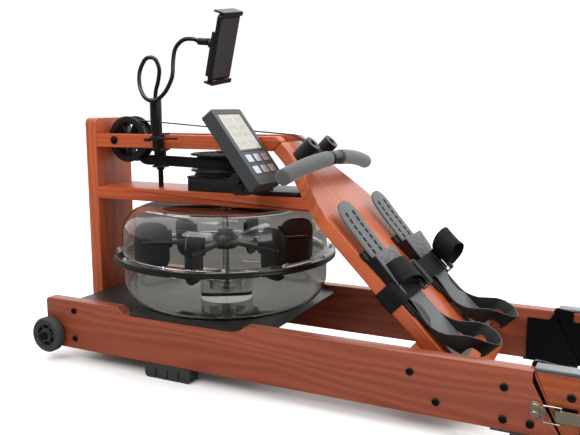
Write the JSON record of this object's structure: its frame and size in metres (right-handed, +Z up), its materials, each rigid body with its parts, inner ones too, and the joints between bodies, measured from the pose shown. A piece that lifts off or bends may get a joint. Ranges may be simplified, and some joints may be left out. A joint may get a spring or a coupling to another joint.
{
  "type": "rowing machine",
  "caption": "Folding water-resistance rowing machine: wooden rails, smoked tank with impeller, sliding seat, strap-pulled handle, foot rests, monitor and phone arm.",
  "frame": {"origin": "on the floor under the middle of the whole machine", "axes": "+X along the rails from the tank to the seat end, +Y to the left of somebody who looks along +X, +Z up"},
  "size_m": [2.132, 0.506, 0.7745],
  "materials": {
    "mahogany": "satin lacquer",
    "black_plastic": "fine grain",
    "grey_plastic": "fine grain",
    "black_steel": "satin powder coat",
    "smoked_shell": "clear smoked plastic",
    "grey_foam": "soft closed-cell foam",
    "black_rubber": "matte",
    "zinc_steel": "bright zinc",
    "track_aluminium": "anodised",
    "black_webbing": "woven",
    "seat_cover": "grained",
    "lcd_glass": "clear window over a pale display",
    "silver_key": "silvered",
    "cream_steel": "nickel, warm",
    "phone_glass": "dark glass"
  },
  "bodies": {
    "base": {"front_rails": "mahogany", "post_and_cross_boards": "mahogany", "top_rails": "mahogany", "shelf_board": "mahogany", "foot_board": "mahogany", "front_feet": "black_rubber", "front_hardware": "black_steel", "latch_keepers": "cream_steel", "tank_tray": "black_steel", "tank_lower_shell": "smoked_shell", "tank_upper_shell": "smoked_shell", "tank_gasket": "black_rubber", "rim_bolts": "zinc_steel", "strap_axles": "black_steel", "drum_housing": "black_plastic", "pull_strap": "black_webbing", "handle_rests": "black_plastic", "foot_bases": "black_plastic", "foot_straps": "black_webbing", "monitor_bracket": "black_plastic", "phone_post": "black_plastic", "gooseneck": "black_plastic"},
    "rear_frame": {"rear_hardware": "black_steel", "rear_rails": "mahogany", "seat_tracks": "track_aluminium", "rear_cross_boards": "mahogany", "rear_feet": "black_rubber"},
    "seat": {"seat_carriage": "black_steel", "seat_base": "mahogany", "seat_pad": "seat_cover"},
    "front_rollers": {"front_rollers": "black_plastic"},
    "rear_rollers": {"rear_rollers": "black_plastic"},
    "handle": {"handle_bar": "black_steel", "hand_grips": "grey_foam", "handle_strap": "black_webbing"},
    "pulley": {"strap_pulley": "black_plastic"},
    "drum": {"strap_drum": "black_plastic"},
    "idler": {"idler_roller": "black_plastic"},
    "impeller": {"impeller": "black_plastic", "impeller_shaft": "zinc_steel"},
    "left_wheel": {"left_wheel": "black_rubber"},
    "right_wheel": {"right_wheel": "black_rubber"},
    "left_heel": {"left_heel_cup": "grey_plastic"},
    "right_heel": {"right_heel_cup": "grey_plastic"},
    "monitor": {"monitor_housing": "grey_plastic", "monitor_screen": "lcd_glass"},
    "clamp_lever": {"clamp_lever": "black_plastic"},
    "cradle": {"cradle_back": "black_plastic", "handset": "phone_glass"},
    "jaw": {"upper_jaw": "black_plastic"},
    "left_latch_lever": {"left_latch_lever": "cream_steel"},
    "right_latch_lever": {"right_latch_lever": "cream_steel"},
    "left_latch_bail": {"left_latch_bail": "cream_steel"},
    "right_latch_bail": {"right_latch_bail": "cream_steel"},
    "key_1": {"monitor_key_1": "silver_key"},
    "key_2": {"monitor_key_2": "silver_key"},
    "key_3": {"monitor_key_3": "silver_key"},
    "key_4": {"monitor_key_4": "silver_key"},
    "key_5": {"monitor_key_5": "silver_key"},
    "key_6": {"monitor_key_6": "silver_key"}
  },
  "joints": [
    {"name": "rail_fold", "type": "hinge", "parent": "base", "child": "rear_frame", "pos_m": [0.0255, 0, 0.1435], "axis": [0, -1, 0], "range_deg": [0, 90]},
    {"name": "seat_slide", "type": "slide", "parent": "rear_frame", "child": "seat", "axis": [1, 0, 0], "range_m": [-0.328, 0.358]},
    {"name": "front_roller_turn", "type": "hinge", "parent": "seat", "child": "front_rollers", "pos_m": [0.491, 0, 0.1651], "axis": [0, 1, 0], "range_deg": [-1260, 1375]},
    {"name": "rear_roller_turn", "type": "hinge", "parent": "seat", "child": "rear_rollers", "pos_m": [0.621, 0, 0.1651], "axis": [0, 1, 0], "range_deg": [-1260, 1375]},
    {"name": "handle_pull", "type": "slide", "parent": "base", "child": "handle", "axis": [1, 0, 0], "range_m": [0, 1], "stiffness_N_per_m": 30, "springref_m": -0.4, "deforming": ["handle_strap"]},
    {"name": "pulley_turn", "type": "hinge", "parent": "base", "child": "pulley", "pos_m": [-0.944, 0, 0.496], "axis": [0, 1, 0], "range_deg": [0, 1250]},
    {"name": "drum_turn", "type": "hinge", "parent": "base", "child": "drum", "pos_m": [-0.684, 0, 0.45], "axis": [0, 0, 1], "range_deg": [-915, 0]},
    {"name": "idler_turn", "type": "hinge", "parent": "base", "child": "idler", "pos_m": [-0.854, -0.01, 0.453], "axis": [0, 0, 1], "range_deg": [-3800, 0]},
    {"name": "impeller_spin", "type": "hinge", "parent": "base", "child": "impeller", "pos_m": [-0.684, 0, 0.27], "axis": [0, 0, 1], "continuous": true},
    {"name": "left_wheel_spin", "type": "hinge", "parent": "base", "child": "left_wheel", "pos_m": [-1.026, -0.219, 0.0605], "axis": [0, 1, 0], "continuous": true},
    {"name": "left_heel_slide", "type": "slide", "parent": "base", "child": "left_heel", "axis": [0.7034, 0, -0.7108], "range_m": [-0.045, 0.045]},
    {"name": "right_wheel_spin", "type": "hinge", "parent": "base", "child": "right_wheel", "pos_m": [-1.026, 0.219, 0.0605], "axis": [0, 1, 0], "continuous": true},
    {"name": "right_heel_slide", "type": "slide", "parent": "base", "child": "right_heel", "axis": [0.7034, 0, -0.7108], "range_m": [-0.045, 0.045]},
    {"name": "monitor_tilt", "type": "hinge", "parent": "base", "child": "monitor", "pos_m": [-0.55769, -0.1265, 0.4301], "axis": [0, 1, 0], "range_deg": [-12, 12]},
    {"name": "key_1_press", "type": "slide", "parent": "monitor", "child": "key_1", "axis": [-0.7986, 0, -0.6018], "range_m": [0, 0.0012], "stiffness_N_per_m": 400, "springref_m": -0.001},
    {"name": "key_2_press", "type": "slide", "parent": "monitor", "child": "key_2", "axis": [-0.7986, 0, -0.6018], "range_m": [0, 0.0012], "stiffness_N_per_m": 400, "springref_m": -0.001},
    {"name": "key_3_press", "type": "slide", "parent": "monitor", "child": "key_3", "axis": [-0.7986, 0, -0.6018], "range_m": [0, 0.0012], "stiffness_N_per_m": 400, "springref_m": -0.001},
    {"name": "key_4_press", "type": "slide", "parent": "monitor", "child": "key_4", "axis": [-0.7986, 0, -0.6018], "range_m": [0, 0.0012], "stiffness_N_per_m": 400, "springref_m": -0.001},
    {"name": "key_5_press", "type": "slide", "parent": "monitor", "child": "key_5", "axis": [-0.7986, 0, -0.6018], "range_m": [0, 0.0012], "stiffness_N_per_m": 400, "springref_m": -0.001},
    {"name": "key_6_press", "type": "slide", "parent": "monitor", "child": "key_6", "axis": [-0.7986, 0, -0.6018], "range_m": [0, 0.0012], "stiffness_N_per_m": 400, "springref_m": -0.001},
    {"name": "clamp_lever_turn", "type": "hinge", "parent": "base", "child": "clamp_lever", "pos_m": [-0.812, -0.078, 0.503], "axis": [0, 0, 1], "range_deg": [-35, 8]},
    {"name": "cradle_tilt", "type": "hinge", "parent": "base", "child": "cradle", "pos_m": [-0.66373, -0.07684, 0.70392], "axis": [0.0888, 0.985, 0.1479], "range_deg": [-12, 12]},
    {"name": "jaw_slide", "type": "slide", "parent": "cradle", "child": "jaw", "axis": [0.3153, -0.1687, 0.9339], "range_m": [0, 0.02], "stiffness_N_per_m": 150, "springref_m": -0.02},
    {"name": "left_latch_lever_turn", "type": "hinge", "parent": "rear_frame", "child": "left_latch_lever", "pos_m": [0.063, -0.2092, 0.0765], "axis": [0, 0, -1], "range_deg": [0, 100]},
    {"name": "left_latch_bail_turn", "type": "hinge", "parent": "left_latch_lever", "child": "left_latch_bail", "pos_m": [0.07, -0.2143, 0.0765], "axis": [0, 0, -1], "range_deg": [-101, 0]},
    {"name": "right_latch_lever_turn", "type": "hinge", "parent": "rear_frame", "child": "right_latch_lever", "pos_m": [0.063, 0.2092, 0.0765], "axis": [0, 0, 1], "range_deg": [0, 100]},
    {"name": "right_latch_bail_turn", "type": "hinge", "parent": "right_latch_lever", "child": "right_latch_bail", "pos_m": [0.07, 0.2143, 0.0765], "axis": [0, 0, 1], "range_deg": [-101, 0]}
  ],
  "couplings": [
    {"joint": "front_roller_turn", "follows": "seat_slide", "rad_per_m": 66.667},
    {"joint": "rear_roller_turn", "follows": "seat_slide", "rad_per_m": 66.667},
    {"joint": "pulley_turn", "follows": "handle_pull", "rad_per_m": 21.69},
    {"joint": "drum_turn", "follows": "handle_pull", "rad_per_m": -15.85},
    {"joint": "idler_turn", "follows": "handle_pull", "rad_per_m": -66},
    {"joint": "left_latch_bail_turn", "follows": "left_latch_lever_turn", "ratio": -1},
    {"joint": "right_latch_bail_turn", "follows": "right_latch_lever_turn", "ratio": -1}
  ]
}
